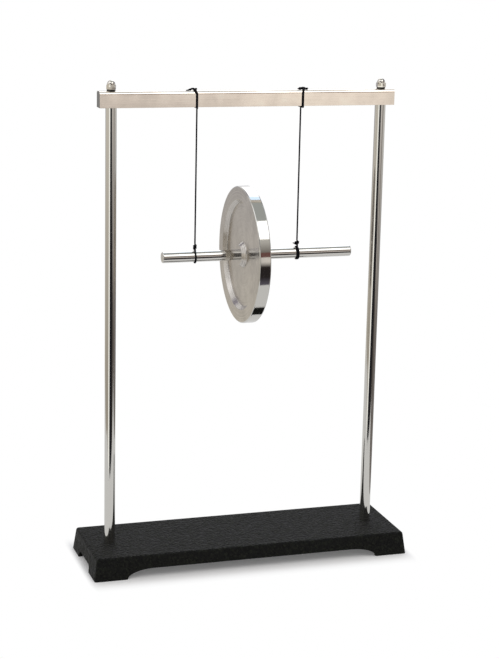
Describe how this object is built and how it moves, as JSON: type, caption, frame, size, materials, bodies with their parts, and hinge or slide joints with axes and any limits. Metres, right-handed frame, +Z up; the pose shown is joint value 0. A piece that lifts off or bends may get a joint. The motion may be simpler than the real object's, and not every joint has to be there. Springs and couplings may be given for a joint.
{
  "type": "maxwell wheel",
  "caption": "Heavy wheel on an axle hung by threads from a post-and-crossbar stand; the threads wind on the axle, so the wheel climbs as it turns and falls as it unwinds.",
  "frame": {"origin": "on the floor, under the middle of the stand", "axes": "+X along the crossbar towards the longer end of the axle, +Y from front to back, +Z up"},
  "size_m": [0.305, 0.126, 0.4491],
  "materials": {
    "base_paint": "black wrinkle paint on cast iron",
    "polished_rod": "polished steel",
    "plated_fastener": "zinc plated",
    "brushed_bar": "brushed lengthwise",
    "dark_spring_steel": "oiled spring steel",
    "bright_nut": "nickel plated",
    "turned_wheel": "turned faces, polished rim",
    "black_thread": "twisted black cotton"
  },
  "bodies": {
    "stand": {"base": "base_paint", "left_post": "polished_rod", "right_post": "polished_rod", "left_base_washer": "plated_fastener", "right_base_washer": "plated_fastener", "left_base_nut": "plated_fastener", "right_base_nut": "plated_fastener", "crossbar": "brushed_bar", "left_lock_washer": "dark_spring_steel", "right_lock_washer": "dark_spring_steel", "left_cap_nut": "bright_nut", "right_cap_nut": "bright_nut", "left_bar_tie": "black_thread", "right_bar_tie": "black_thread"},
    "suspension": {"left_thread": "black_thread", "right_thread": "black_thread"},
    "wheel_set": {"axle": "polished_rod", "wheel": "turned_wheel", "left_axle_tie": "black_thread", "right_axle_tie": "black_thread"}
  },
  "joints": [
    {"name": "wheel_rise", "type": "slide", "parent": "stand", "child": "suspension", "axis": [0, 0, 1], "range_m": [0, 0.071], "deforming": ["left_thread", "right_thread"]},
    {"name": "wheel_spin", "type": "hinge", "parent": "suspension", "child": "wheel_set", "pos_m": [0, 0, 0.2885], "axis": [1, 0, 0], "range_deg": [0, 720]}
  ],
  "couplings": [
    {"joint": "wheel_rise", "follows": "wheel_spin", "m_per_rad": 0.00565}
  ]
}
